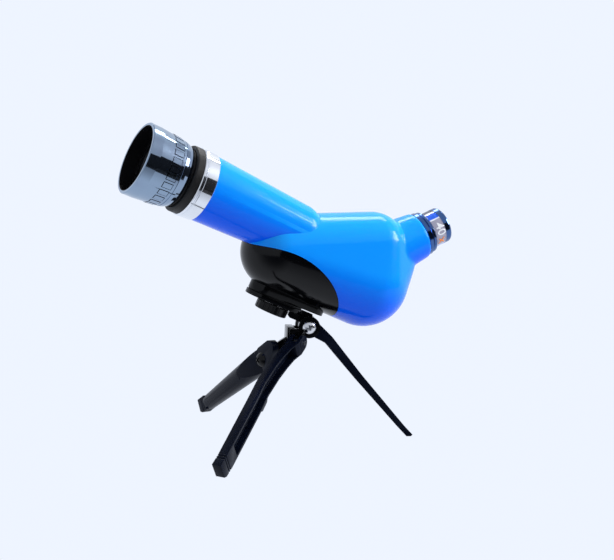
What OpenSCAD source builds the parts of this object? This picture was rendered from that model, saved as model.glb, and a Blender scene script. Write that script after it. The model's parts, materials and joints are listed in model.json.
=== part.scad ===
// Toy telescope with a bent eyepiece, on a folding table tripod.
// Millimetres, +Z up, feet on Z = 0, the hood points to -X.

/* [Stand] */
// Height of the tilt bolt above the table
bolt_height = 74.5; // [70:0.5:80]
// Turn of the tripod about the vertical, against the telescope
tripod_yaw = -18; // [-24:1:-12]
// Tilt of the head plate, nose up
head_tilt = 21.5; // [12:0.5:28]
// Turn of the telescope on the head plate
pan_angle = 17; // [0:1:30]

/* [Tripod head] */
// Distance from the tilt bolt forward to the thumbscrew
pan_reach = 27; // [25:1:32]
// Height of the head plate's top face over the tilt bolt
plate_top = 8.4; // [8:0.2:10]
// Thickness of the head plate
plate_t = 3.4; // [3:0.2:4]
// Width of the head plate
plate_w = 21; // [18:1:24]
// Thickness of the rubber pad on the head plate
pad_t = 0.8; // [0.6:0.1:1]
// Diameter of the thumbscrew's disc
thumb_d = 22; // [18:1:24]
// Radius of the hub's round cheeks
cheek_r = 7.2; // [6.5:0.1:7.4]

/* [Legs] */
// Slope of the main leg below the level
main_slope = 32.4; // [31:0.1:35]
// Direction of the main leg, seen from above
main_dir = -124.6; // [-128:0.1:-120]
// Slope of the side leg below the level
side_slope = 32.5; // [31:0.1:35]
// Direction of the side leg, seen from above
side_dir = 116.6; // [112:0.2:122]
// Slope of the rear leg below the level
rear_slope = 45.2; // [43:0.2:50]
// Radius of the legs' hinge pins
pin_r = 1.5; // [1.2:0.1:1.6]

/* [Telescope] */
// Radius of the hood at its front
hood_r = 23; // [22:0.5:24]
// Length of the hood
hood_l = 29.5; // [28:0.5:30]
// Number of grip pads round the hood
pad_count = 26; // [20:1:30]
// Radius of the sliding draw tube
draw_r = 18.8; // [18.4:0.1:19]
// Radius of the blue tube behind its chrome band
tube_r = 21.4; // [21:0.1:22]
// Radius of the blue tube where it runs onto the bulb
tube_end_r = 19; // [18.5:0.1:20]
// Wall of the body shells
wall = 2; // [1.8:0.1:2.4]
// Angle of the eyepiece above the tube's axis
bend = 45; // [44:1:46]

/* [Eyepiece] */
// Radius of the eyepiece's grip
eye_r = 12.6; // [12:0.1:13]
// Radius of the eyepiece's plug, which slides in the socket
plug_r = 11.92; // [11.9:0.01:11.96]
// Radius of the eye hole
eye_hole_r = 4; // [3:0.5:5]

/* [Hidden] */
$fn = 72;

// The tilt bolt's place in plan, which centres the whole model on the origin
bolt_x = 11.14;
bolt_y = -8.087;

// Stations along the telescope's axis, from the hood's front rim
rim_straight = 7;
cavity_depth = 9;
cavity_r = hood_r - 2;
grip_start = 14.8;
grip_l = 6.6;
shoulder = 23;
neck_start = 30.8;
bezel_start = 36;
band_start = 38.4;
tube_start = 46;
sleeve_end = 64;
tube_end = 117;
tube_drop = 1.5;
mirror_station = 176;
pan_station = 124;
foot_start = 103;
foot_l = 57;
foot_bottom = -46.6;
slip = 0.08;

// Balls that the bulb is stretched over: station, height and radius
bulb_balls = [[112, -18.5, 24.8], [180, -14, 31], [175, 9.5, 24], [191, 4, 20]];
bulb_fn = 32;
// The round seam between the blue shells and the black belly
seam_station = 113;
seam_height = -75;
seam_r = 60;
seam_gap = 0.15;
// Shell screws: station, height and how far out the head sits
shell_screws = [[136, -13.5, 14], [160, 20, 7], [200, -26, 11]];
screw_r = 1.3;
screw_head_r = 2.9;
screw_tip = -8;
post_r = 4.2;

// Distances along the eyepiece's axis, from the mirror's centre
neck_l = 42.5;
neck_r = 16.4;
collar_l = 3.5;
flange_start = neck_l + collar_l + 0.3;
flange_l = 3;
grip_top = 63.7;
plug_start = 27;
label_l = 8.6;

// Tripod
cheek_in = 5;
cheek_t = 3;
main_pin_at = 17;
side_pin = [-28.1, 1.9, -23.5];
bolt_r = 2.4;
main_pin = main_pin_at * [cos(main_dir) * cos(main_slope), sin(main_dir) * cos(main_slope), -sin(main_slope)];
main_half = 5.6;
main_knuckle = 4.7;
main_foot_w = 5.8;
main_foot_y = -0.5;
side_half = 5.2;
side_top_r = 8.4;
side_ear = 12;
side_ear_r = 5;
side_face = 2.3;
side_back = -2.4;
side_seat = 5.2;
side_bolt_r = 2;
rear_half = 1.9;
main_l = (bolt_height + main_pin[2] - main_half * cos(main_slope)) / sin(main_slope);
side_l = (bolt_height + side_pin[2] - side_half * cos(side_slope)) / sin(side_slope);
rear_l = (bolt_height - rear_half * cos(rear_slope)) / sin(rear_slope);
tip_l = 7;
sole = 2.2;
side_tip_y = 0.9;
side_tongue = 5;
rear_tongue = 3;
stud_r = 3;

// ---- Frames ----

// Tripod frame: origin at the tilt bolt, +X over the rear leg
module in_tripod() translate([bolt_x, bolt_y, bolt_height]) rotate([0, 0, tripod_yaw]) children();

// Head frame: tilts with the head plate, +Z out of its top face
module in_head() in_tripod() rotate([0, head_tilt, 0]) children();

// Telescope frame: origin at the hood's front rim, +X back along the tube
module in_telescope() in_head() translate([-pan_reach, 0, plate_top])
    rotate([0, 0, pan_angle]) translate([-pan_station, 0, -foot_bottom + pad_t]) children();

// A turned piece on the tube's axis, which starts at a station and runs back along +Z
module on_axis(station) in_telescope() translate([station, 0, 0]) rotate([0, 90, 0]) children();

// A turned piece on the eyepiece's axis, at a distance from the mirror
module on_eye_axis(distance) in_telescope() eye_axis(distance) children();
module eye_axis(distance) translate([mirror_station, 0, 0]) rotate([0, bend, 0])
    translate([0, 0, distance]) children();

// Leg frames: origin at the leg's hinge, +X down the leg, +Y along the hinge
module in_main_leg() in_tripod() translate(main_pin) rotate([0, main_slope, main_dir]) children();
module in_side_leg() in_tripod() translate(side_pin) rotate([0, side_slope, side_dir]) children();
module in_rear_leg() in_tripod() rotate([0, rear_slope, 0]) children();

// ---- Shapes that repeat ----

module ring(outer, inner, length) rotate_extrude() translate([inner, 0]) square([outer - inner, length]);

// A cylinder along Y, centred on Y = mid
module across(radius, length, mid = 0) translate([0, mid, 0]) rotate([90, 0, 0])
    cylinder(r = radius, h = length, center = true);

// A flat bar with round ends along X, from x0 to x1, standing on Z = 0
module slot_bar(x0, x1, width, height) linear_extrude(height) union() {
    translate([x0 + width / 2, -width / 2]) square([x1 - x0 - width, width]);
    translate([x0 + width / 2, 0]) circle(d = width);
    translate([x1 - width / 2, 0]) circle(d = width);
}

// A round lens with two ball faces; its straight edge stands on Z = 0
module lens(radius, edge, sag) {
    ball = (radius * radius + sag * sag) / (2 * sag);
    rotate_extrude() intersection() {
        translate([0, -sag]) square([radius, edge + 2 * sag]);
        translate([0, edge + sag - ball]) circle(r = ball, $fn = 360);
        translate([0, ball - sag]) circle(r = ball, $fn = 360);
    }
}

// A domed screw head with a cross recess, standing on Z = 0
module dome_head(radius, height) {
    ball = (radius * radius + height * height) / (2 * height);
    difference() {
        intersection() {
            translate([0, 0, height - ball]) sphere(r = ball, $fn = 96);
            cylinder(r = radius, h = height);
        }
        for (turn = [0, 90]) rotate([0, 0, turn + 20])
            translate([-radius * 0.45, -radius * 0.1, height * 0.45]) cube([radius * 0.9, radius * 0.2, height]);
    }
}

// ---- Focusing front ----

module objective_hood() color([0.35, 0.38, 0.42]) on_axis(0) difference() {
    rotate_extrude() polygon([[cavity_r, 0], [hood_r - 0.5, 0], [hood_r, 0.5], [hood_r, rim_straight],
        [hood_r - 1.4, shoulder], [hood_r - 1.9, shoulder], [hood_r - 1.9, shoulder + 0.5],
        [hood_r - 1.5, shoulder + 0.5], [hood_r - 1.9, shoulder + 2.6], [hood_r - 2.8, hood_l - 1.8],
        [hood_r - 3.9, hood_l], [draw_r + slip, hood_l], [draw_r + slip, cavity_depth],
        [cavity_r, cavity_depth]]);
    for (i = [0 : pad_count - 1]) rotate([0, 0, i * 360 / pad_count])
        translate([hood_r - 2.2, -2, grip_start]) cube([4, 4, grip_l]);
}

module grip_pads() color([0.12, 0.13, 0.15]) on_axis(0) intersection() {
    for (i = [0 : pad_count - 1]) rotate([0, 0, i * 360 / pad_count])
        translate([hood_r - 2.2, -1.6, grip_start + 0.4]) cube([4, 3.2, grip_l - 0.8]);
    cylinder(r1 = hood_r + 0.72, r2 = hood_r - 1.14, h = shoulder, $fn = 8 * pad_count);
}

module draw_tube() color([0.05, 0.05, 0.06]) on_axis(cavity_depth + 0.2) difference() {
    cylinder(r = draw_r, h = 54);
    translate([0, 0, -1]) cylinder(r = draw_r - 1.2, h = 8);
    cylinder(r = draw_r - 1.6, h = 60);
}

module objective_lens() color([0.75, 0.85, 0.95, 0.5]) on_axis(13) lens(draw_r - 1.2, 2.6, 1.2);

module lens_retainer() color([0.08, 0.08, 0.09]) on_axis(10.2) rotate_extrude()
    polygon([[draw_r - 3.4, 0.6], [draw_r - 2.8, 0], [draw_r - 1.2, 0], [draw_r - 1.2, 2.75],
        [draw_r - 3.4, 2.45]]);

module neck_ring() color([0.04, 0.04, 0.04]) on_axis(neck_start) rotate_extrude() union() {
    translate([draw_r + 0.4, 0]) square([1, bezel_start - neck_start]);
    translate([draw_r + 1.2, 0]) square([0.6, bezel_start - neck_start]);
    translate([draw_r + 1.2, 1.2]) square([1.6, bezel_start - neck_start - 1.2]);
    translate([draw_r + 1.6, 1.2]) circle(r = 1.2, $fn = 40);
}

module front_bezel() color([0.75, 0.77, 0.8]) on_axis(bezel_start) rotate_extrude()
    polygon([[draw_r + 0.4, 0], [tube_r + 0.4, 0], [tube_r + 0.9, 0.5], [tube_r + 0.9, 1.3],
        [tube_r + 0.6, 1.5], [tube_r + 0.9, 1.7], [tube_r + 0.9, 2.2], [tube_r + 0.7, 2.4],
        [draw_r + 0.4, 2.4]]);

module front_band() color([0.85, 0.87, 0.9]) on_axis(band_start) rotate_extrude()
    polygon([[tube_r - 0.8, 0], [tube_r + 0.6, 0], [tube_r + 0.8, 0.3], [tube_r + 0.55, 7.3],
        [tube_r + 0.3, 7.6], [tube_r - 0.8, 7.6]]);

module focus_sleeve() color([0.1, 0.1, 0.1]) on_axis(bezel_start + 2.4)
    ring(draw_r + 0.8, draw_r + slip, sleeve_end - bezel_start - 2.4);

// ---- Body ----

// Along the drooping axis of the blue tube, at a distance behind the chrome band
module tube_axis(distance) translate([tube_start, 0, 0]) rotate([0, 90 + tube_drop, 0])
    translate([0, 0, distance]) children();

// The blue tube with its round end, in the telescope frame
module tube_form(inset) {
    tube_axis(-2) cylinder(r1 = tube_r - inset, r2 = tube_end_r - inset, h = tube_end - tube_start + 2);
    tube_axis(tube_end - tube_start) sphere(r = tube_end_r - inset);
}

module bulb_form(inset) hull() for (ball = bulb_balls)
    translate([ball[0], 0, ball[1]]) sphere(r = ball[2] - inset, $fn = bulb_fn);

module body_outer() union() {
    translate([band_start, 0, 0]) rotate([0, 90, 0]) cylinder(r = tube_r - 0.8, h = tube_start - band_start + 1);
    tube_form(0);
    bulb_form(0);
    eye_axis(14) cylinder(r1 = neck_r + 3, r2 = neck_r, h = neck_l - 14);
}

module body_inner() union() {
    translate([band_start - 1, 0, 0]) rotate([0, 90, 0]) cylinder(r = draw_r + 0.8, h = sleeve_end - band_start + 1);
    tube_form(wall);
    bulb_form(wall);
    eye_axis(14) cylinder(r = 13.6, h = neck_l);
}

// The space that the black belly takes out of the body
module seam_space(grow) translate([seam_station, 0, seam_height]) across(seam_r + grow, 90);

// A cylinder along Y on each shell screw's axis, from y0 out to past its head by extra
module on_screws(radius, y0, extra) for (at = shell_screws) translate([at[0], at[2] + extra, at[1]])
    rotate([90, 0, 0]) cylinder(r = radius, h = at[2] + extra - y0);

// side is -1 for the left shell and 1 for the right one
module body_shell(side) in_telescope() difference() {
    intersection() {
        body_outer();
        translate([0, side < 0 ? -60 : 0, -80]) cube([260, 60, 160]);
    }
    difference() {
        body_inner();
        on_screws(post_r, -40, 30);
    }
    seam_space(0);
    // Seat of the chrome band
    translate([band_start, 0, 0]) rotate([0, 90, 0]) ring(tube_r + 2, tube_r - 0.8, tube_start - band_start);
    on_screws(screw_r, screw_tip, 0);
    if (side > 0) for (at = shell_screws) translate([at[0], at[2] + 30, at[1]]) rotate([90, 0, 0])
        cylinder(r = screw_head_r + 0.3, h = 30);
}

module body_shell_left() color([0.1, 0.45, 1]) body_shell(-1);
module body_shell_right() color([0.1, 0.45, 1]) body_shell(1);

module belly_shell() color([0.06, 0.06, 0.07]) in_telescope() difference() {
    intersection() {
        body_outer();
        seam_space(-seam_gap);
    }
    body_inner();
    on_foot_screws(-1) cylinder(r = screw_r, h = 20);
}

module body_screws() color([0.7, 0.7, 0.72]) in_telescope() union() {
    on_screws(screw_r, screw_tip, 0);
    for (at = shell_screws) translate([at[0], at[2], at[1]]) rotate([-90, 0, 0]) dome_head(screw_head_r, 1.8);
}

module light_baffle() color([0.03, 0.03, 0.03]) in_telescope() tube_axis(sleeve_end - tube_start + 0.6)
    rotate_extrude() polygon([[12, 0], [18.4, 0], [18.4, 6], [17.4, 6], [17.4, 1.2], [12, 1.2]]);

// ---- Mirror ----

mirror_l = 36;
mirror_w = 24;
mirror_t = 2;

// The mirror's own frame: +Z out of its glass
module in_mirror() in_telescope() mirror_frame() children();
module mirror_frame() translate([mirror_station, 0, 0]) rotate([0, -bend / 2, 0]) children();

module mirror_glass_plate(grow, drop, height) translate([0, 0, -drop])
    linear_extrude(height) square([mirror_l + 2 * grow, mirror_w + 2 * grow], center = true);

module mirror_plate() color([0.85, 0.9, 0.95]) in_mirror() mirror_glass_plate(0, mirror_t, mirror_t);

module mirror_bracket() color([0.08, 0.08, 0.08]) in_telescope() difference() {
    intersection() {
        union() {
            mirror_frame() mirror_glass_plate(1.6, mirror_t + 2, mirror_t + 2.8);
            translate([mirror_station - 3, -9, -50]) cube([6, 18, 45]);
        }
        bulb_form(wall);
    }
    mirror_frame() mirror_glass_plate(0, mirror_t, 30);
    mirror_frame() translate([0, 0, -mirror_t]) linear_extrude(12)
        square([mirror_l - 2, mirror_w - 2], center = true);
}

// ---- Foot ----

nut_r = 5.8;
nut_t = 2.2;

// On the foot's two screws, at a height over its bottom
module on_foot_screws(height) for (x = [foot_start + 8, foot_start + foot_l - 9])
    translate([x, 0, foot_bottom + height]) children();

module mount_foot() color([0.05, 0.05, 0.06]) in_telescope() difference() {
    translate([0, 0, foot_bottom]) slot_bar(foot_start, foot_start + foot_l, plate_w - 2, 14);
    bulb_form(0);
    translate([pan_station, 0, foot_bottom - 1]) cylinder(r = 3.4, h = 12);
    translate([pan_station, 0, foot_bottom + 0.6]) cylinder(r = nut_r, h = nut_t, $fn = 6);
    on_foot_screws(-1) cylinder(r = screw_r, h = 20);
    on_foot_screws(-1) cylinder(r = screw_head_r + 0.3, h = 2.6);
}

module foot_screws() color([0.7, 0.7, 0.72]) in_telescope() on_foot_screws(0.2) {
    cylinder(r = screw_head_r, h = 1.4);
    cylinder(r = screw_r, h = 3.4);
}

module tripod_nut() color([0.8, 0.65, 0.3]) in_telescope() translate([pan_station, 0, foot_bottom + 0.6])
    difference() {
        cylinder(r = nut_r, h = nut_t, $fn = 6);
        translate([0, 0, -1]) cylinder(r = stud_r + 0.06, h = 6);
    }

// ---- Eyepiece ----

module eyepiece_socket() color([0.8, 0.82, 0.85]) on_eye_axis(0) rotate_extrude()
    polygon([[plug_r + slip, 24], [13.6, 24], [13.6, neck_l], [15, neck_l], [15.5, neck_l + 0.5],
        [15.5, neck_l + collar_l - 0.6], [14.9, neck_l + collar_l], [plug_r + slip, neck_l + collar_l]]);

module eyepiece_barrel() color([0.1, 0.1, 0.11]) on_eye_axis(plug_start) difference() {
    union() {
        cylinder(r = plug_r, h = flange_start - plug_start + 1);
        cylinder(r = eye_r - 1.4, h = grip_top - plug_start - 4.4);
    }
    translate([0, 0, -1]) cylinder(r = 10, h = 60);
}

module eyepiece_flange() color([0.8, 0.82, 0.85]) on_eye_axis(flange_start) difference() {
    rotate_extrude() polygon([[plug_r, 1], [plug_r, 0], [14.2, 0], [14.8, 0.6], [14.8, flange_l - 0.9],
        [13.9, flange_l], [eye_r - 1.4, flange_l], [eye_r - 1.4, 1]]);
    rotate([0, 0, 200]) translate([14.1, -2, 1]) cube([3, 4, 6]);
}

module eyepiece_sleeve() color([0.6, 0.6, 0.66]) on_eye_axis(flange_start + flange_l) difference() {
    ring(eye_r, eye_r - 1.4, label_l);
    translate([0, 0, 0.4]) ring(eye_r + 1, eye_r - 0.15, 0.35);
    translate([0, 0, label_l - 0.75]) ring(eye_r + 1, eye_r - 0.15, 0.35);
}

module eyepiece_cap() color([0.2, 0.21, 0.24]) on_eye_axis(flange_start + flange_l + label_l) rotate_extrude()
    polygon([[eye_r - 1.4, 0], [eye_r, 0], [eye_r + 0.1, 0.4], [eye_r + 0.1, 3.4], [eye_r - 0.3, 4.3],
        [eye_r - 1.2, 5], [eye_r - 2.2, 5.3], [eye_hole_r + 2.4, 4.7], [eye_hole_r, 3.6],
        [eye_hole_r, 2.6], [eye_r - 1.4, 1.6]]);

module eye_lens() color([0.75, 0.85, 0.95, 0.5]) on_eye_axis(55.2) lens(10, 1.8, 1);
module field_lens() color([0.75, 0.85, 0.95, 0.5]) on_eye_axis(30.2) lens(10, 1.8, 1.2);
module lens_spacer() color([0.05, 0.05, 0.05]) on_eye_axis(32.3) ring(10, 8.8, 22.65);

// ---- Tripod head ----

module head_plate() color([0.05, 0.05, 0.06]) in_head() difference() {
    union() {
        translate([0, 0, plate_top - plate_t]) slot_bar(-pan_reach - 20.5, -7.5, plate_w, plate_t);
        // Lug between the hub's cheeks
        intersection() {
            union() {
                translate([-15.4, -2.3, 0.5]) cube([15.4, 4.6, plate_top - 0.5]);
                across(6.4, 4.6);
            }
            translate([-20, -3, -8]) cube([30, 6, plate_top + 8]);
        }
    }
    across(bolt_r + slip, 20);
    translate([-pan_reach, 0, 0]) cylinder(r = stud_r + slip, h = 30, center = true);
    translate([-17.5, 0, -3.2]) across(5.2, 20);
}

module plate_pad() color([0.12, 0.12, 0.12]) in_head() translate([0, 0, plate_top]) difference() {
    slot_bar(-pan_reach - 19.5, -8.5, plate_w - 2, pad_t);
    translate([-pan_reach, 0, -1]) cylinder(r = 3.5, h = 4);
}

module in_thumbscrew() in_head() translate([-pan_reach, 0, plate_top - plate_t - 0.3]) children();

module thumb_stud() color([0.7, 0.7, 0.72]) in_thumbscrew() translate([0, 0, -2])
    cylinder(r = stud_r, h = 2 + plate_t + pad_t + 2.8);

module thumb_disc() color([0.05, 0.05, 0.06]) in_thumbscrew() difference() {
    translate([0, 0, -6]) rotate_extrude() union() {
        square([thumb_d / 2 - 1, 6]);
        translate([0, 1]) square([thumb_d / 2, 4]);
        translate([thumb_d / 2 - 1, 1]) circle(r = 1, $fn = 32);
        translate([thumb_d / 2 - 1, 5]) circle(r = 1, $fn = 32);
    }
    for (i = [0 : 19]) rotate([0, 0, i * 18]) translate([thumb_d / 2 + 0.45, 0, -3])
        cylinder(r = 0.8, h = 8, center = true, $fn = 24);
    translate([-thumb_d / 2 + 3, -0.8, -7]) cube([thumb_d - 6, 1.6, 1.8]);
    translate([0, 0, -2]) cylinder(r = stud_r, h = 4);
}

module tilt_bolt() color([0.8, 0.82, 0.85]) in_tripod() {
    across(bolt_r, 2 * (cheek_in + cheek_t) + 2.4, 1.2);
    translate([0, -cheek_in - cheek_t, 0]) rotate([90, 0, 0]) dome_head(4.4, 2.2);
}

module tilt_nut() color([0.7, 0.7, 0.72]) in_tripod() translate([0, cheek_in + cheek_t, 0]) rotate([-90, 0, 0])
    difference() {
        cylinder(r = 4.4, h = 2.8, $fn = 6);
        translate([0, 0, -1]) cylinder(r = bolt_r, h = 6);
    }

// ---- Hub ----

module hub_cheek(mid) difference() {
    across(cheek_r, cheek_t, mid);
    across(bolt_r, cheek_t + 1, mid);
}

module tripod_hub() color([0.05, 0.05, 0.06]) difference() {
    union() {
        in_tripod() {
            for (side = [-1, 1]) {
                hub_cheek(side * (cheek_in + cheek_t / 2));
                translate([-13, side * (cheek_in + cheek_t / 2) - cheek_t / 2, -11]) cube([10, cheek_t, 10]);
            }
            translate([-14, -cheek_in - 0.5, -11]) cube([4.6, 2 * cheek_in + cheek_t + 0.5, 10.5]);
            // Arm to the side leg
            translate([-10, 1.2, -8]) rotate([0, 36, 168]) translate([0, -3, -2.6]) cube([21, 6, 5.2]);
        }
        // Tongue of the main leg's hinge
        in_main_leg() translate([-10, -2.1, -3.4]) cube([10, 4.2, 6.8]);
        in_main_leg() across(3.6, 4.2);
        // Lug of the side leg's hinge
        in_side_leg() across(5.6, 4, -4.6);
        in_side_leg() translate([-9, -6.6, -3.6]) cube([9, 4, 7.2]);
    }
    in_tripod() across(bolt_r, 30);
    in_main_leg() across(pin_r, 12);
    in_side_leg() across(side_bolt_r, 20);
    // Room for the knuckles of the head plate and of the three legs
    in_tripod() across(9.2, 2 * cheek_in);
    for (side = [-1, 1]) in_main_leg() across(main_knuckle + 0.5, 3.2, side * 3.9);
    in_side_leg() translate([-20, side_back - 0.2, -20]) cube(40);
}

// ---- Legs ----

// Leaves only what is above the table
module above_table() difference() {
    children();
    translate([-200, -200, -20]) cube([400, 400, 20]);
}

// The main leg: a bowed channel, open to one side, with a fork at the hinge
module main_leg() color([0.06, 0.07, 0.1]) in_main_leg() difference() {
    end = main_l - tip_l;
    foot_0 = main_foot_y - main_foot_w / 2;
    foot_1 = main_foot_y + main_foot_w / 2;
    union() {
        across(main_knuckle, 9.4);
        intersection() {
            translate([0, 0, -10]) linear_extrude(20) polygon([[0, -4.7], [0, 4.7], [6, 4.4], [12, 1.8], [20, 0.2],
                [30, -1], [46, -1.4], [62, 0], [end, foot_1], [end, foot_0], [62, -6.2], [44, -7.6], [24, -6.6],
                [8, -4.7]]);
            rotate([90, 0, 0]) linear_extrude(20, center = true) polygon([[0, -main_knuckle], [0, main_knuckle],
                [28, main_half], [end, main_half], [end, -main_half], [60, -main_half],
                [58, -main_half - 1.5], [50, -main_half - 1.5], [48, -main_half], [28, -main_half]]);
        }
    }
    translate([-8, -2.3, -8]) cube([12.8, 4.6, 16]);
    translate([0, 0, 1.4 - main_half]) linear_extrude(2 * main_half - 2.8) polygon([[9, 9], [9, -2.7],
        [24, -4.6], [44, -5.7], [62, -4.3], [end - 8, foot_0 + 1.3], [end - 8, 9]]);
    translate([0, main_foot_y, 0]) tip_tongue(main_l, main_half, main_foot_w / 2);
    across(pin_r + 0.06, 20);
}

module main_leg_pin() color([0.6, 0.6, 0.62]) in_main_leg() across(pin_r, 10.6);

// The tongue of a rubber tip, which plugs into the end of its leg
module tip_tongue(length, half, width) translate([length - tip_l - 6, -width / 2, -half + 1.6]) cube([8, width, half]);

module leg_tip(length, half, width, tongue) difference() {
    union() {
        translate([length - tip_l, -width / 2, -half]) cube([tip_l + sole, width, 2 * half]);
        tip_tongue(length, half, tongue);
    }
    for (x = [length - tip_l + 1.6, length - tip_l + 3.4]) difference() {
        translate([x, -width, -half * 2]) cube([0.6, width * 2, half * 4]);
        translate([x - 1, -width / 2 + 0.3, -half + 0.3]) cube([3, width - 0.6, 2 * half - 0.6]);
    }
}

module main_leg_tip() color([0.03, 0.03, 0.03]) above_table() in_main_leg()
    translate([0, main_foot_y, 0]) leg_tip(main_l, main_half, main_foot_w, main_foot_w / 2);

// The side leg: a half-round shank with a flat, obliquely cut tongue at the hinge
module side_leg() color([0.1, 0.12, 0.14]) in_side_leg() difference() {
    union() {
        intersection() {
            union() {
                translate([-side_ear, 0, side_top_r - side_ear_r]) across(side_ear_r, 20);
                rotate([90, 0, 0]) linear_extrude(20, center = true) polygon([[0.1, -side_top_r], [0.1, side_top_r],
                    [-side_ear, side_top_r], [-side_ear - 1.9, side_top_r - 2 * side_ear_r + 0.4]]);
            }
            rotate([0, -90, 0]) translate([0, 0, -1]) cylinder(r = side_top_r + 1, h = 2 * side_ear);
        }
        rotate([0, 90, 0]) cylinder(r1 = side_top_r, r2 = side_half + 0.4, h = side_l - tip_l);
    }
    translate([-30, side_face, -20]) cube([30 + side_seat, 20, 40]);
    translate([side_seat, side_face, 0]) rotate([0, 0, 15]) translate([-4, 0, -20]) cube([60, 20, 40]);
    translate([-30, side_back - 20, -20]) cube([200, 20, 40]);
    translate([0, side_tip_y, 0]) tip_tongue(side_l, side_half, side_tongue);
    across(side_bolt_r + 0.06, 30);
}

module side_leg_screw() color([0.1, 0.1, 0.11]) in_side_leg() union() {
    across(side_bolt_r, side_face + 6.8, (side_face - 6.8) / 2);
    translate([0, side_face + 0.05, 0]) rotate([-90, 0, 0]) dome_head(side_seat - 0.2, 2.8);
}

module side_leg_tip() color([0.03, 0.03, 0.03]) above_table() in_side_leg()
    translate([0, side_tip_y, 0]) leg_tip(side_l, side_half, 6.8, side_tongue);

module rear_leg() color([0.06, 0.06, 0.07]) in_rear_leg() difference() {
    union() {
        across(6.6, 9.4);
        rotate([90, 0, 0]) linear_extrude(9.4, center = true) polygon([[0, -5.6], [0, 6.4], [16, 7],
            [50, 4.2], [rear_l - tip_l, rear_half], [rear_l - tip_l, -rear_half], [50, -0.8], [16, 0.8], [6, -2.6]]);
    }
    translate([-8, -2.5, -10]) cube([17.6, 5, 20]);
    across(bolt_r + slip, 20);
    translate([24, -2.9, -6]) cube([rear_l, 5.8, 6.6]);
    tip_tongue(rear_l, rear_half, rear_tongue);
    // The blade narrows to its foot
    for (side = [-1, 1]) scale([1, side, 1]) rotate([0, 0, -0.9]) translate([20, 4.7, -10]) cube([rear_l, 6, 20]);
}

module rear_leg_tip() color([0.03, 0.03, 0.03]) above_table() in_rear_leg()
    leg_tip(rear_l, rear_half, 6.6, rear_tongue);

objective_hood();
grip_pads();
draw_tube();
objective_lens();
lens_retainer();
neck_ring();
front_bezel();
front_band();
focus_sleeve();
body_shell_left();
body_shell_right();
belly_shell();
body_screws();
light_baffle();
mirror_plate();  // mirror
mirror_bracket();
mount_foot();
foot_screws();
tripod_nut();
eyepiece_socket();
eyepiece_barrel();
eyepiece_flange();
eyepiece_sleeve();
eyepiece_cap();
eye_lens();
field_lens();
lens_spacer();
head_plate();
plate_pad();
thumb_disc();
thumb_stud();
tilt_bolt();
tilt_nut();
tripod_hub();
main_leg();
main_leg_pin();
main_leg_tip();
side_leg();
side_leg_screw();
side_leg_tip();
rear_leg();
rear_leg_tip();
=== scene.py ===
import json
import math

import bpy
from mathutils import Matrix, Vector


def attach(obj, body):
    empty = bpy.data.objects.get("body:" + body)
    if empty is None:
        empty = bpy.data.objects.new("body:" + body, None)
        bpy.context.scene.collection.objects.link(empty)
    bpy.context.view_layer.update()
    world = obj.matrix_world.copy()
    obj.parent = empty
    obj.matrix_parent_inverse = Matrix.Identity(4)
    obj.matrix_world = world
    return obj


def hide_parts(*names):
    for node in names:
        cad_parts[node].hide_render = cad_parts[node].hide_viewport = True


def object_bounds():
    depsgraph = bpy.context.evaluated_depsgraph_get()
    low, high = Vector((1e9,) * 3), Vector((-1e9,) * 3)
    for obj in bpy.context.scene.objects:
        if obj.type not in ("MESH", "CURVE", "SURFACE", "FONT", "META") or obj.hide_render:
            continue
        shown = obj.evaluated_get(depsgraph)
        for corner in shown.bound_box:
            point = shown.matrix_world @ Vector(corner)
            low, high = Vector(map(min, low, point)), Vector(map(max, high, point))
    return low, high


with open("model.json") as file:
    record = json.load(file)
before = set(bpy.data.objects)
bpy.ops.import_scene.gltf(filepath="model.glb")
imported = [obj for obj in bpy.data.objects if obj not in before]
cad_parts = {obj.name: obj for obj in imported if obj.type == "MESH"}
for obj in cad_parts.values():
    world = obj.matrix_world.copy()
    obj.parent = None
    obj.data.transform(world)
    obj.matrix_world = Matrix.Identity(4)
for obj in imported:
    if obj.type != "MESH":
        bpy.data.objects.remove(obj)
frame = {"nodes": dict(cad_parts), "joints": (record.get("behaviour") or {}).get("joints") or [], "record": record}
cad_low, cad_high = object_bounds()

MM = 0.001
JOINTS = {joint["name"]: joint for joint in frame["joints"]}
UP = Vector((0, 0, 1))


# ---- Places, taken from the joints ----

def axes(origin, along, top):
    """A frame with X along, Z as close to top as it can be, and its origin where told."""
    x = Vector(along).normalized()
    y = Vector(top).cross(x).normalized()
    made = Matrix((x, y, x.cross(y))).transposed().to_4x4()
    made.translation = Vector(origin)
    return made


def pivot(name):
    return Vector(JOINTS[name]["pos_m"])


def axis(name):
    return Vector(JOINTS[name]["axis"]).normalized()


PLATE_NORMAL = axis("telescope_pan")
TUBE = axes(pivot("focus_turn"), -axis("focus_turn"), PLATE_NORMAL)
EYE_LINE = axis("eyepiece_pull")
MIRROR_CENTRE = TUBE @ Vector((176 * MM, 0, 0))

# ---- Camera ----

TO_CAMERA = Vector((-0.465, -0.879, 0.1045)).normalized()
AIM = pivot("head_tilt") + Vector((-1.84, -0.02, 30.6)) * MM
ROLL = math.radians(2.5)

level = UP.cross(TO_CAMERA).normalized()
tall = TO_CAMERA.cross(level)
right = level * math.cos(ROLL) + tall * math.sin(ROLL)
camera_data = bpy.data.cameras.new("camera")
camera_data.lens = 57.7
camera_data.sensor_width = 36
CAMERA_AWAY = 0.65
camera = bpy.data.objects.new("camera", camera_data)
bpy.context.scene.collection.objects.link(camera)
turned = Matrix((right, TO_CAMERA.cross(right), TO_CAMERA)).transposed().to_4x4()
turned.translation = AIM + TO_CAMERA * CAMERA_AWAY
camera.matrix_world = turned
bpy.context.scene.camera = camera
bpy.context.scene.view_settings.view_transform = "Standard"


# ---- Materials ----

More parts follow.
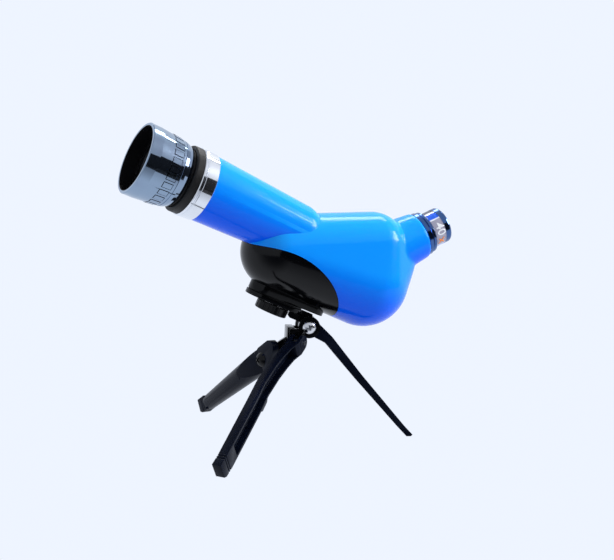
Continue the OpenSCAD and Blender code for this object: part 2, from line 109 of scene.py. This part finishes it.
class Value:
    """A shader socket that can be used in sums."""

    def __init__(self, graph, socket):
        self.graph = graph
        self.socket = socket

    def join(self, operation, first, second):
        return self.graph.node("ShaderNodeMath", {"operation": operation}, [first, second])

    def __add__(self, other): return self.join("ADD", self, other)
    def __radd__(self, other): return self.join("ADD", other, self)
    def __sub__(self, other): return self.join("SUBTRACT", self, other)
    def __rsub__(self, other): return self.join("SUBTRACT", other, self)
    def __mul__(self, other): return self.join("MULTIPLY", self, other)
    def __rmul__(self, other): return self.join("MULTIPLY", other, self)
    def __pow__(self, other): return self.join("POWER", self, other)
    def __gt__(self, other): return self.join("GREATER_THAN", self, other)
    def __abs__(self): return self.join("ABSOLUTE", self, 0)


class Graph:
    """The nodes of a material or of the room."""

    def __init__(self, tree):
        self.tree = tree

    def node(self, kind, settings=None, inputs=(), output=0):
        """Adds a node: its settings first, then the values or links of its sockets."""
        made = self.tree.nodes.new(kind)
        for key, value in (settings or {}).items():
            setattr(made, key, value)
        pairs = inputs.items() if isinstance(inputs, dict) else enumerate(inputs)
        for key, value in pairs:
            if isinstance(value, Value):
                self.tree.links.new(value.socket, made.inputs[key])
            else:
                made.inputs[key].default_value = value
        return Value(self, made.outputs[output])

    def place(self, home=None):
        """Object coordinates, or the same in a frame of their own."""
        here = self.node("ShaderNodeTexCoord", output="Object")
        if home is None:
            return here
        inverse = home.inverted()
        return self.node("ShaderNodeMapping", {}, {
            "Vector": here, "Location": inverse.to_translation(), "Rotation": inverse.to_euler("XYZ")})

    def part(self, vector, letter):
        return self.node("ShaderNodeSeparateXYZ", {}, [vector], output=letter)

    def noise(self, where, scale, detail=2.0, stretch=None):
        if stretch is not None:
            where = self.node("ShaderNodeVectorMath", {"operation": "MULTIPLY"}, [where, stretch])
        return self.node("ShaderNodeTexNoise", {}, {
            "Vector": where, "Scale": scale, "Detail": detail, "Roughness": 0.55})

    def fade(self, value, low, high, to_low=0.0, to_high=1.0):
        """A smooth step from one number to another."""
        return self.node("ShaderNodeMapRange", {"interpolation_type": "SMOOTHSTEP"},
                         [value, low, high, to_low, to_high])

    def mix(self, share, first, second):
        first, second = (c if isinstance(c, Value) else (*c, 1) for c in (first, second))
        made = self.tree.nodes.new("ShaderNodeMix")
        made.data_type = "RGBA"
        for key, value in ((0, share), (6, first), (7, second)):
            if isinstance(value, Value):
                self.tree.links.new(value.socket, made.inputs[key])
            else:
                made.inputs[key].default_value = value
        return Value(self, made.outputs[2])


class Paint(Graph):
    """One material, with a principled surface."""

    def __init__(self, name, colour, roughness, metallic=0.0, **fixed):
        self.material = bpy.data.materials.new(name)
        self.material.use_nodes = True
        super().__init__(self.material.node_tree)
        self.surface = self.tree.nodes["Principled BSDF"]
        self.set("Base Color", (*colour, 1))
        self.set("Roughness", roughness)
        self.set("Metallic", metallic)
        for key, value in fixed.items():
            self.set(key.replace("_", " "), value)
        self.material.diffuse_color = (*colour, 1)

    def set(self, socket, value):
        if isinstance(value, Value):
            self.tree.links.new(value.socket, self.surface.inputs[socket])
        else:
            self.surface.inputs[socket].default_value = value

    def relief(self, height, depth_mm):
        self.set("Normal", self.node("ShaderNodeBump", {}, {
            "Height": height, "Distance": depth_mm * MM, "Strength": 1.0}))


def moulded(name, colour, roughness, shine=0.5, grain=0.012, tint=None):
    """Moulded plastic: faint flow marks, handling haze and a fine orange peel."""
    paint = Paint(name, colour, roughness, Specular_IOR_Level=shine)
    where = paint.place()
    flow = paint.noise(where, 38, 3, (1, 1, 2.5))
    haze = paint.noise(where, 210, 4)
    other = tint or tuple(min(1, c * 1.5 + 0.0005) for c in colour)
    paint.set("Base Color", paint.mix(paint.fade(flow, 0.35, 0.75, 0, 0.6), colour, other))
    paint.set("Roughness", roughness + (flow - 0.5) * 0.10 + (haze - 0.5) * 0.07)
    peel = paint.noise(where, 900, 2) + paint.noise(where, 2600, 1) * 0.4
    paint.relief(peel, grain)
    return paint


def plated(name, colour, roughness, home=None):
    """Bright plating: faint polishing lines round the axis and a little handling haze."""
    paint = Paint(name, colour, roughness, 1.0)
    where = paint.place(home)
    lines = paint.noise(where, 420, 3, (6, 0.25, 0.25))
    haze = paint.noise(where, 60, 4)
    paint.set("Roughness", roughness + (lines - 0.4) * 0.06 + paint.fade(haze, 0.5, 0.8, 0, 0.07))
    duller = tuple(c * 0.8 for c in colour)
    paint.set("Base Color", paint.mix(paint.fade(haze, 0.35, 0.8, 0, 0.35), colour, duller))
    paint.relief(lines, 0.004)
    return paint


def blue_plastic():
    """Glossy blue plastic with painted light and shade: lighter where the surface faces up, deeper blue where it
    faces down; with the shells' parting line.
    """
    # Painted light: the lighter azure stands for top light and the deeper blue for shade underneath
    lit_azure, deep = (0.004, 0.38, 1.0), (0.0, 0.12, 1.0)
    paint = Paint("blue_gloss", lit_azure, 0.18, Coat_Weight=0.10, Coat_Roughness=0.05, Specular_IOR_Level=0.12)
    where = paint.place(TUBE)
    # Painted shade mask: how far the surface faces up, slightly broken by flow noise, sets the share of the
    # painted light colour
    facing = paint.node("ShaderNodeNewGeometry", output="Normal")
    painted_light_up = paint.part(facing, "Z")
    flow = paint.noise(where, 30, 3)
    share = paint.fade(painted_light_up + (flow - 0.5) * 0.08, -0.75, 0.72)
    paint.set("Base Color", paint.mix(share, deep, lit_azure))
    paint.set("Roughness", 0.16 + (paint.noise(where, 160, 4) - 0.5) * 0.08)
    beside = abs(paint.part(where, "Y"))
    groove = paint.fade(beside, 0.10 * MM, 0.28 * MM)
    peel = paint.noise(where, 800, 2)
    paint.relief(groove + peel * 0.05, 0.16)
    return paint.material


def hood_plating():
    """Dark plating outside, flat black inside the cup."""
    silver, black = (0.27, 0.36, 0.48), (0.002, 0.002, 0.0025)
    paint = Paint("dark_chrome", silver, 0.05, 1.0, Specular_IOR_Level=0.25)
    where = paint.place(TUBE)
    side, high = paint.part(where, "Y"), paint.part(where, "Z")
    radius = (side * side + high * high) ** 0.5
    outside = paint.fade(radius, 21.15 * MM, 21.3 * MM)
    behind = paint.fade(paint.part(where, "X"), 20 * MM, 22 * MM)
    outer = paint.node("ShaderNodeMath", {"operation": "MAXIMUM"}, [outside, behind])
    lines = paint.noise(where, 380, 3, (8, 0.2, 0.2))
    haze = paint.noise(where, 55, 4)
    clouded = paint.mix(paint.fade(haze, 0.4, 0.8), silver, (0.22, 0.27, 0.38))
    paint.set("Base Color", paint.mix(outer, black, clouded))
    paint.set("Metallic", outer)
    paint.set("Roughness", 0.4 - outer * 0.34 + (lines - 0.4) * 0.05)
    paint.relief(lines, 0.004)
    return paint.material


def label_print(home):
    """The printed sleeve: a grey panel between white lines and blue stripes."""
    grey, blue, white, night = (0.34, 0.33, 0.42), (0.01, 0.13, 0.85), (0.85, 0.87, 0.92), (0.02, 0.03, 0.09)
    paint = Paint("grey_label", grey, 0.2, Coat_Weight=0.3, Coat_Roughness=0.05, Specular_IOR_Level=0.3)
    where = paint.place(home)
    turn = paint.node("ShaderNodeMath", {"operation": "ARCTAN2"},
                      [paint.part(where, "Y"), paint.part(where, "X")])
    away = abs(turn) * (180 / math.pi)
    cloud = paint.noise(where, 90, 3)
    shade = paint.mix(cloud, grey, (0.42, 0.41, 0.50))
    for edge, colour in ((46, white), (51, blue), (74, white), (79, night)):
        shade = paint.mix(away > edge, shade, colour)
    paint.set("Base Color", shade)
    paint.set("Roughness", 0.14 + (cloud - 0.5) * 0.08)
    paint.relief(paint.noise(where, 700, 2), 0.008)
    return paint.material


def rubber(name):
    black, dusty = (0.004, 0.004, 0.0045), (0.012, 0.012, 0.013)
    paint = Paint(name, black, 0.55, Specular_IOR_Level=0.3)
    where = paint.place()
    fine, dust = paint.noise(where, 1500, 3), paint.noise(where, 70, 4)
    paint.set("Base Color", paint.mix(paint.fade(dust, 0.5, 0.85, 0, 0.5), black, dusty))
    paint.set("Roughness", 0.5 + (fine - 0.5) * 0.3)
    paint.relief(fine, 0.03)
    return paint.material


def clear_lens():
    paint = Paint("coated_glass", (0.80, 0.90, 1.0), 0.02, Transmission_Weight=1.0, IOR=1.52)
    smear = paint.noise(paint.place(), 120, 4)
    paint.set("Roughness", paint.fade(smear, 0.55, 0.85, 0.01, 0.10))
    return paint.material


EYE = axes(MIRROR_CENTRE, TO_CAMERA - EYE_LINE * TO_CAMERA.dot(EYE_LINE), EYE_LINE)
PANEL = EYE @ Matrix.Rotation(math.radians(24), 4, "Z")

FINISH = {
    "blue_gloss": blue_plastic(),
    "black_gloss": moulded("black_gloss", (0.0012, 0.0013, 0.0018), 0.14, shine=0.22).material,
    "leg_gloss": moulded("leg_gloss", (0.002, 0.0035, 0.010), 0.28,
                         shine=0.08, grain=0.008, tint=(0.004, 0.007, 0.018)).material,
    "black_satin": moulded("black_satin", (0.004, 0.004, 0.005), 0.42, shine=0.3, grain=0.03).material,
    "black_rubber": rubber("black_rubber"),
    "dark_chrome": hood_plating(),
    "cap_chrome": plated("cap_chrome", (0.07, 0.14, 0.33), 0.12).material,
    "bright_chrome": plated("bright_chrome", (0.80, 0.83, 0.88), 0.07, TUBE).material,
    "plated_steel": plated("plated_steel", (0.70, 0.71, 0.73), 0.16).material,
    "brass_nut": plated("brass_nut", (0.78, 0.58, 0.26), 0.22).material,
    "grey_label": label_print(PANEL),
    "coated_glass": clear_lens(),
    "mirror_glass": plated("mirror_glass", (0.90, 0.92, 0.94), 0.02).material,
}

SLOT_OF = {entry["node"]: entry["material_slot"] for entry in frame["record"]["subparts"]}


def finish_piece(piece, material):
    piece.data.materials.clear()
    piece.data.materials.append(FINISH[material])


for node, cad in frame["nodes"].items():
    dark = node in ("eyepiece_cap", "eyepiece_flange", "eyepiece_socket")
    finish_piece(cad, "cap_chrome" if dark else SLOT_OF[node])


# ---- Bench: small tools for shaping by hand ----

def only(*objects):
    if bpy.context.object and bpy.context.object.mode == "EDIT":
        bpy.ops.object.mode_set(mode="OBJECT")
    bpy.ops.object.select_all(action="DESELECT")
    for one in objects:
        one.select_set(True)
    bpy.context.view_layer.objects.active = objects[0]


def edit(piece):
    only(piece)
    bpy.ops.object.mode_set(mode="EDIT")


def done():
    bpy.ops.object.mode_set(mode="OBJECT")


def new_piece(name):
    made = bpy.context.object
    made.name = name
    made.data.name = name
    return made


def freeze(piece, home=None):
    """Puts a piece's place into its mesh, first set in a frame of its own."""
    only(piece)
    if home is not None:
        piece.matrix_world = home @ piece.matrix_world
    bpy.ops.object.transform_apply(location=True, rotation=True, scale=True)
    return piece


def modify(piece, kind, **settings):
    only(piece)
    added = piece.modifiers.new(kind.lower(), kind)
    for key, value in settings.items():
        setattr(added, key, value)
    bpy.ops.object.modifier_apply(modifier=added.name)


def smooth(piece, angle=32):
    only(piece)
    bpy.ops.object.shade_smooth_by_angle(angle=math.radians(angle))


def rod(name, home, radius, start, end, centre=(0, 0), around="X", sides=96, radius_end=None):
    """A round bar along one axis of a frame, in millimetres."""
    turn = {"X": (0, math.pi / 2, 0), "Y": (-math.pi / 2, 0, 0), "Z": (0, 0, 0)}[around]
    middle = (start + end) / 2
    place = {"X": (middle, centre[0], centre[1]), "Y": (centre[0], middle, centre[1]),
             "Z": (centre[0], centre[1], middle)}[around]
    bpy.ops.object.select_all(action="DESELECT")
    bpy.ops.mesh.primitive_cone_add(
        vertices=sides, radius1=radius * MM, radius2=(radius if radius_end is None else radius_end) * MM,
        depth=(end - start) * MM, location=Vector(place) * MM, rotation=turn)
    return freeze(new_piece(name), home)


def ball(name, home, radius, at, segments=96):
    bpy.ops.object.select_all(action="DESELECT")
    bpy.ops.mesh.primitive_uv_sphere_add(
        segments=segments, ring_count=segments // 2, radius=radius * MM, location=Vector(at) * MM)
    return freeze(new_piece(name), home)


def join(*pieces):
    only(*pieces)
    bpy.ops.object.join()
    return bpy.context.object


def cut(piece, tool, operation="DIFFERENCE"):
    modify(piece, "BOOLEAN", object=tool, operation=operation, solver="EXACT")
    bpy.data.objects.remove(tool)


def fit(piece, body, material, *nodes):
    """Gives a finished piece its finish, its body and the nodes that it stands for."""
    finish_piece(piece, material)
    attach(piece, body)
    if nodes:
        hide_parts(*nodes)
    return piece


def rounded(node, body, material, width, name, sharp=30):
    """A copy of a part with its sharp edges rounded as a mould leaves them."""
    bpy.ops.object.select_all(action="DESELECT")
    piece = bpy.data.objects.new(name, frame["nodes"][node].data.copy())
    piece.data.name = name
    bpy.context.scene.collection.objects.link(piece)
    edit(piece)
    bpy.ops.mesh.select_mode(type="VERT")
    bpy.ops.mesh.select_all(action="SELECT")
    bpy.ops.mesh.remove_doubles(threshold=0.002 * MM)
    bpy.ops.mesh.dissolve_limited(angle_limit=math.radians(0.6))
    bpy.ops.mesh.select_mode(type="EDGE")
    bpy.ops.mesh.select_all(action="DESELECT")
    bpy.ops.mesh.edges_select_sharp(sharpness=math.radians(sharp))
    bpy.ops.mesh.bevel(offset=width * MM, offset_type="OFFSET", segments=3, profile=0.5,
                       affect="EDGES", clamp_overlap=True)
    done()
    smooth(piece, 40)
    return fit(piece, body, material, node)


# ---- Blue body and black belly ----

# The hull of these balls is the bulb: along the tube's line, up from it, and the radius, in millimetres
BULB = ((112, -18.5, 24.8), (180, -14, 31), (175, 9.5, 24), (191, 4, 20))
TUBE_DROP = Matrix.Translation(Vector((46, 0, 0)) * MM) @ Matrix.Rotation(math.radians(1.5), 4, "Y")
EYE_IN_TUBE = Matrix.Translation(Vector((176, 0, 0)) * MM) @ Matrix.Rotation(math.radians(45), 4, "Y")


def body_form():
    """The bulb with the eyepiece's neck grown out of it, and the tube with its round end run onto it."""
    home = Matrix.Identity(4)
    balls = [ball("bulb_ball", home, radius, (along, 0, high), 128) for along, high, radius in BULB]
    bulb = join(*balls)
    edit(bulb)
    bpy.ops.mesh.select_all(action="SELECT")
    bpy.ops.mesh.convex_hull()
    done()
    neck = rod("eye_neck", EYE_IN_TUBE, 19.4, 14, 42.5, around="Z", sides=128, radius_end=16.4)
    form = join(bulb, neck)
    modify(form, "REMESH", mode="VOXEL", voxel_size=0.85 * MM, adaptivity=0)
    modify(form, "SMOOTH", factor=0.5, iterations=9)
    barrel = rod("tube_barrel", TUBE_DROP, 21.42, -0.7, 71, sides=128, radius_end=19)
    cut(barrel, ball("tube_end", TUBE_DROP, 19, (71, 0, 0), 128), "UNION")
    cut(form, barrel, "UNION")
    return form


form = body_form()
form.name = "body_skin"
belly = form.copy()
belly.data = form.data.copy()
belly.name = belly.data.name = "belly_skin"
bpy.context.scene.collection.objects.link(belly)

SEAM_RADIUS, SEAM_CENTRE, SEAM_GAP = 60, (113, -75), 0.2
cut(form, rod("seam_cutter", Matrix.Identity(4), SEAM_RADIUS, -60, 60, SEAM_CENTRE, "Y", 256))
cut(form, rod("front_bore", Matrix.Identity(4), 19.7, 40, 66, sides=128))
cut(form, rod("eye_bore", EYE_IN_TUBE, 13.6, 20, 46, around="Z", sides=128))
cut(belly, rod("seam_cutter", Matrix.Identity(4), SEAM_RADIUS - SEAM_GAP, -60, 60, SEAM_CENTRE, "Y", 256),
    "INTERSECT")
for piece in (form, belly):
    piece.data.transform(TUBE)
    smooth(piece, 38)
fit(form, "telescope", "blue_gloss", "body_shell_left", "body_shell_right")
fit(belly, "telescope", "black_gloss", "belly_shell")

# ---- Rounded copies of the moulded parts ----

for node, body, material, width, name in (
        ("mount_foot", "telescope", "black_gloss", 0.6, "foot_moulding"),
        ("head_plate", "head", "black_gloss", 0.6, "head_plate_moulding"),
        ("tripod_hub", "hub", "black_gloss", 0.6, "hub_moulding"),
        ("main_leg", "main_leg", "leg_gloss", 0.3, "main_leg_moulding"),
        ("main_leg_tip", "main_leg", "leg_gloss", 0.15, "main_leg_foot"),
        ("side_leg", "side_leg", "leg_gloss", 0.35, "side_leg_moulding"),
        ("side_leg_tip", "side_leg", "leg_gloss", 0.15, "side_leg_foot"),
        ("rear_leg", "rear_leg", "leg_gloss", 0.4, "rear_leg_moulding"),
        ("rear_leg_tip", "rear_leg", "leg_gloss", 0.15, "rear_leg_foot")):
    rounded(node, body, material, width, name)

# ---- Numbers on the eyepiece's label ----

def number(words, offset, material):
    """Raised print, wrapped round the sleeve."""
    bpy.ops.object.select_all(action="DESELECT")
    bpy.ops.object.text_add()
    text = bpy.context.object
    text.data.body = words
    text.data.size = 9 * MM
    text.data.align_x = "CENTER"
    text.data.align_y = "CENTER"
    text.data.offset = 0.12 * MM
    bpy.ops.object.convert(target="MESH")
    piece = new_piece("eyepiece_" + material)
    edit(piece)
    bpy.ops.mesh.select_all(action="SELECT")
    bpy.ops.mesh.quads_convert_to_tris()
    bpy.ops.mesh.subdivide(number_cuts=5)
    done()
    piece.location = Vector((offset, 0, 1.5)) * MM
    freeze(piece)
    # The print's X runs round the sleeve, its Y up the eyepiece and its Z out
    home = PANEL @ Matrix.Translation(Vector((12.6, 0, 54.3)) * MM) @ Matrix(
        ((0, 0, 1, 0), (1, 0, 0, 0), (0, 1, 0, 0), (0, 0, 0, 1)))
    helper = rod("sleeve_helper", Matrix.Identity(4), 12.62, 40, 70, around="Z", sides=256)
    helper.matrix_world = home.inverted() @ PANEL
    only(piece)
    modify(piece, "SHRINKWRAP", target=helper, wrap_method="PROJECT", use_project_z=True,
           use_negative_direction=True, use_positive_direction=True, offset=0.02 * MM)
    bpy.data.objects.remove(helper)
    modify(piece, "SOLIDIFY", thickness=0.06 * MM, offset=1)
    freeze(piece, home)
    return piece


white = moulded("print_white", (0.82, 0.84, 0.88), 0.3, grain=0.004)
orange = moulded("print_orange", (0.95, 0.22, 0.02), 0.3, grain=0.004)
FINISH["print_white"], FINISH["print_orange"] = white.material, orange.material
for words, offset, ink in (("40", -2.6, "print_white"), ("x", 5.8, "print_orange")):
    piece = number(words, offset, ink)
    finish_piece(piece, ink)
    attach(piece, "eyepiece")

# ---- Floor and light ----

def stage_sheet(name, colour, roughness, turn, at, wide, deep):
    """A flat sheet of the studio, lying level until it is stood up."""
    bpy.ops.object.select_all(action="DESELECT")
    bpy.ops.mesh.primitive_plane_add(size=1)
    sheet = new_piece(name)
    sheet.scale = (wide, deep, 1)
    sheet.rotation_euler = turn
    sheet.location = at
    freeze(sheet)
    paint = Paint(name, colour, roughness)
    cloud = paint.noise(paint.place(), 3, 3)
    paint.set("Roughness", roughness + (cloud - 0.5) * 0.1)
    sheet.data.materials.append(paint.material)
    return sheet


# One pale sheet: its near edge is on the ground and its far edge is raised, so it slopes over the
# object and isn't under its feet
SHEET_RISE = 2.4
facing_turn = math.atan2(-TO_CAMERA.x, TO_CAMERA.y) + math.pi
floor = stage_sheet("floor", (0.64, 0.64, 0.64), 0.55, (0, 0, facing_turn),
                    Vector((0.28, 0.53, -0.0004)), 5.0, 3.0)
away = TO_CAMERA * -1
far = max(away.dot(vertex.co) for vertex in floor.data.vertices)
edit(floor)
bpy.ops.mesh.select_mode(type="VERT")
bpy.ops.mesh.select_all(action="DESELECT")
done()
for vertex in floor.data.vertices:
    vertex.select = away.dot(vertex.co) > far - 0.1
edit(floor)
bpy.ops.transform.translate(value=(0, 0, SHEET_RISE))
done()
smooth(floor, 40)

# Black cards in front of the object, which only the shiny parts show, as dark bands
upright = (math.radians(90), 0, math.radians(25))
for name, turn, at, wide, deep in (
        ("dark_card", upright, (0.24, -0.44, 0.16), 1.1, 0.32),
        ("dark_mat", (0, 0, facing_turn), (0.31, -0.58, 0.001), 0.74, 0.27)):
    card = stage_sheet(name, (0.004, 0.004, 0.005), 0.9, turn, Vector(at), wide, deep)
    card.visible_camera = card.visible_diffuse = card.visible_shadow = False


def softbox(name, at, aim, wide, high, power):
    light = bpy.data.lights.new(name, "AREA")
    light.shape = "RECTANGLE"
    light.size, light.size_y = wide, high
    light.energy = power
    made = bpy.data.objects.new(name, light)
    bpy.context.scene.collection.objects.link(made)
    made.location = at
    made.rotation_euler = (Vector(aim) - Vector(at)).to_track_quat("-Z", "Y").to_euler()
    return made


middle = (cad_low + cad_high) / 2
softbox("key_box", (-0.50, -0.60, 1.10), middle, 0.8, 0.5, 85)
softbox("top_box", (0.30, 0.35, 1.15), middle, 0.9, 0.6, 18)
fill = softbox("fill_box", (-0.15, -1.10, 0.42), middle, 0.7, 0.7, 38)
fill.visible_glossy = False
softbox("front_box", (-0.80, -0.70, 0.40), middle, 0.4, 0.4, 8)
softbox("side_box", (1.0, -0.5, 0.6), middle, 0.5, 0.5, 14)

world = bpy.data.worlds.new("studio")
bpy.context.scene.world = world
world.use_nodes = True
room = Graph(world.node_tree)
look = room.node("ShaderNodeTexCoord", output="Generated")
toward = room.node("ShaderNodeVectorMath", {"operation": "DOT_PRODUCT"},
                   [look, (-0.46, -0.87, 0.12)], "Value")
height = room.part(look, "Z")
shade = room.mix(room.fade(height, 0.35, 0.8), (0.66, 0.70, 0.78), (1.0, 1.0, 1.0))
dark_front = room.fade(toward, 0.25, 0.92, 0, 0.93) * room.fade(height, 0.75, 0.3)
shade = room.mix(dark_front, shade, (0.02, 0.025, 0.04))
room.tree.links.new(shade.socket, world.node_tree.nodes["Background"].inputs["Color"])
world.node_tree.nodes["Background"].inputs["Strength"].default_value = 1.3
